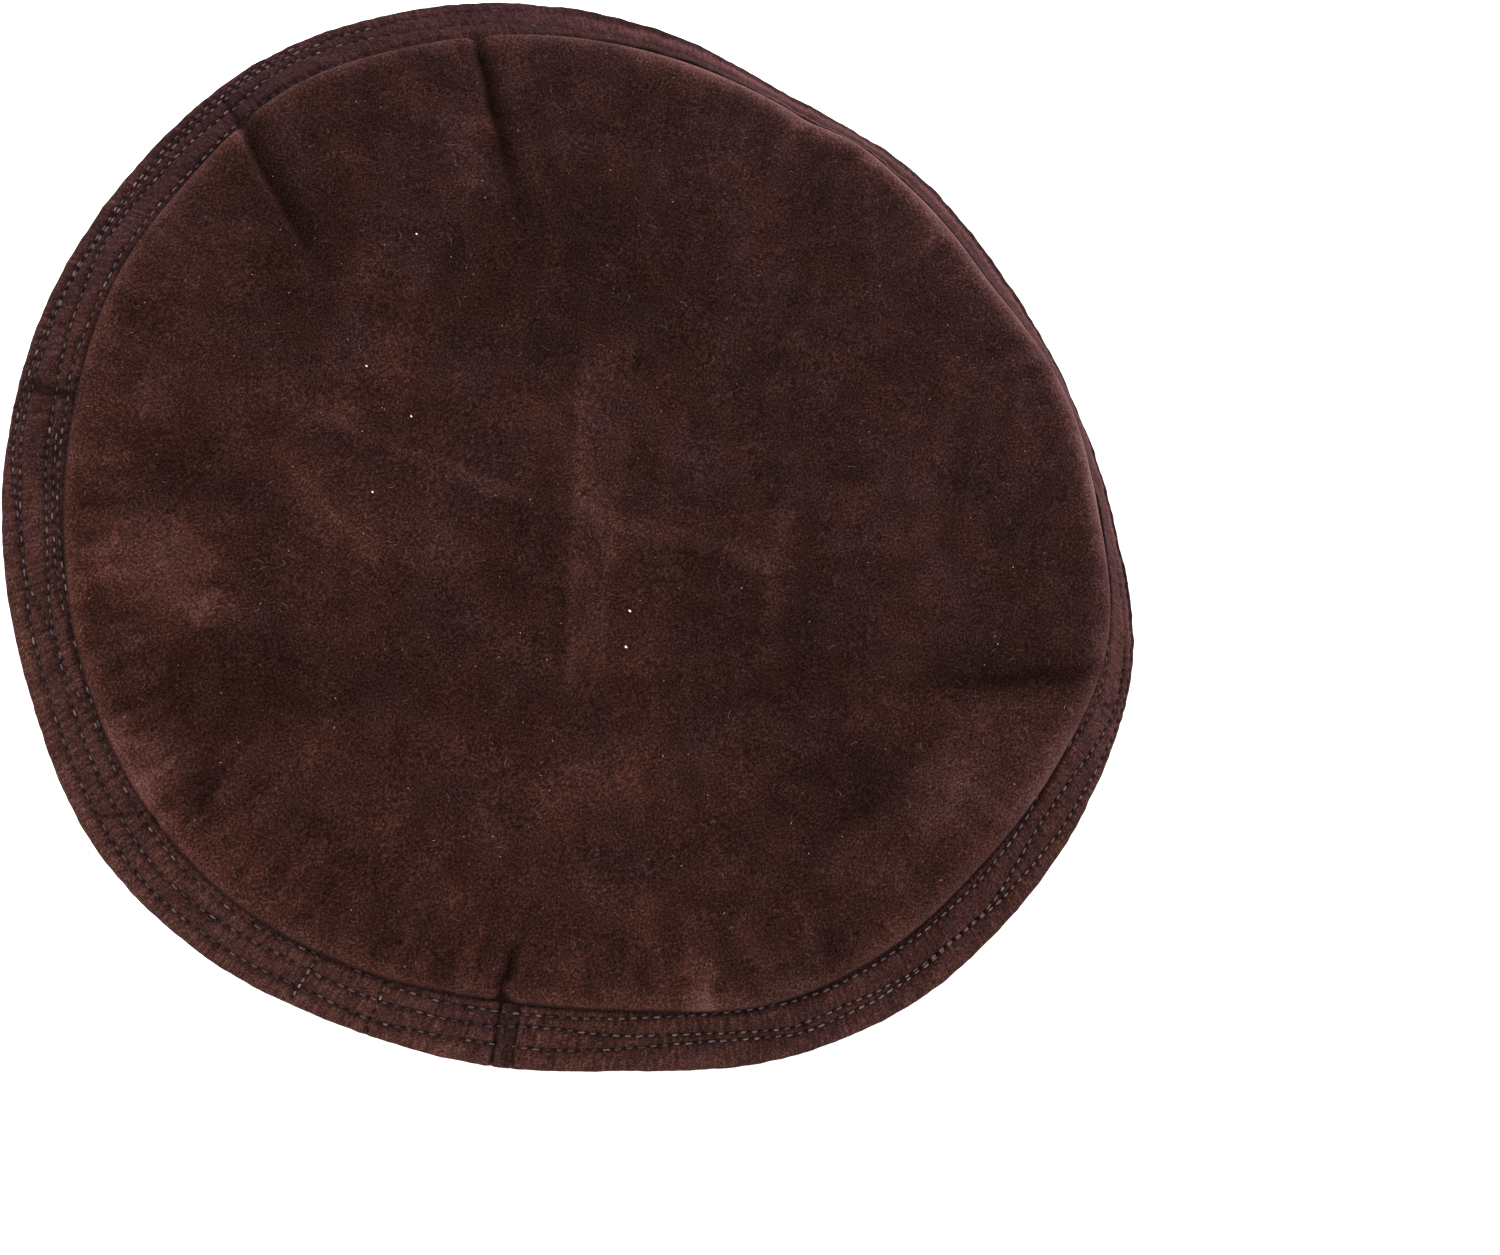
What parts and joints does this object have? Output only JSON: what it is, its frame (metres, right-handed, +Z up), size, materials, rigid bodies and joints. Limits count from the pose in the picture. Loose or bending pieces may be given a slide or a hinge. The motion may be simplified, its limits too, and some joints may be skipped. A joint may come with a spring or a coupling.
{
  "type": "pakol hat",
  "caption": "Soft round velvet hat: a flat pillowed crown, a topstitched sloping band round its seam and a rolled brim below that the head goes into.",
  "frame": {"origin": "centre of the hat's outline, on the surface it rests on", "axes": "+Z up through the crown; +Y is the side that lies furthest from the viewer in the picture"},
  "size_m": [0.2732, 0.268, 0.0637],
  "materials": {
    "crown_velvet": "brushed dark brown velvet",
    "band_velvet": "dark brown velvet, pile worn flat by topstitching",
    "brim_velvet": "dark brown velvet"
  },
  "bodies": {
    "root": {"crown": "crown_velvet", "stitched_band": "band_velvet", "rolled_brim": "brim_velvet"}
  },
  "joints": []
}
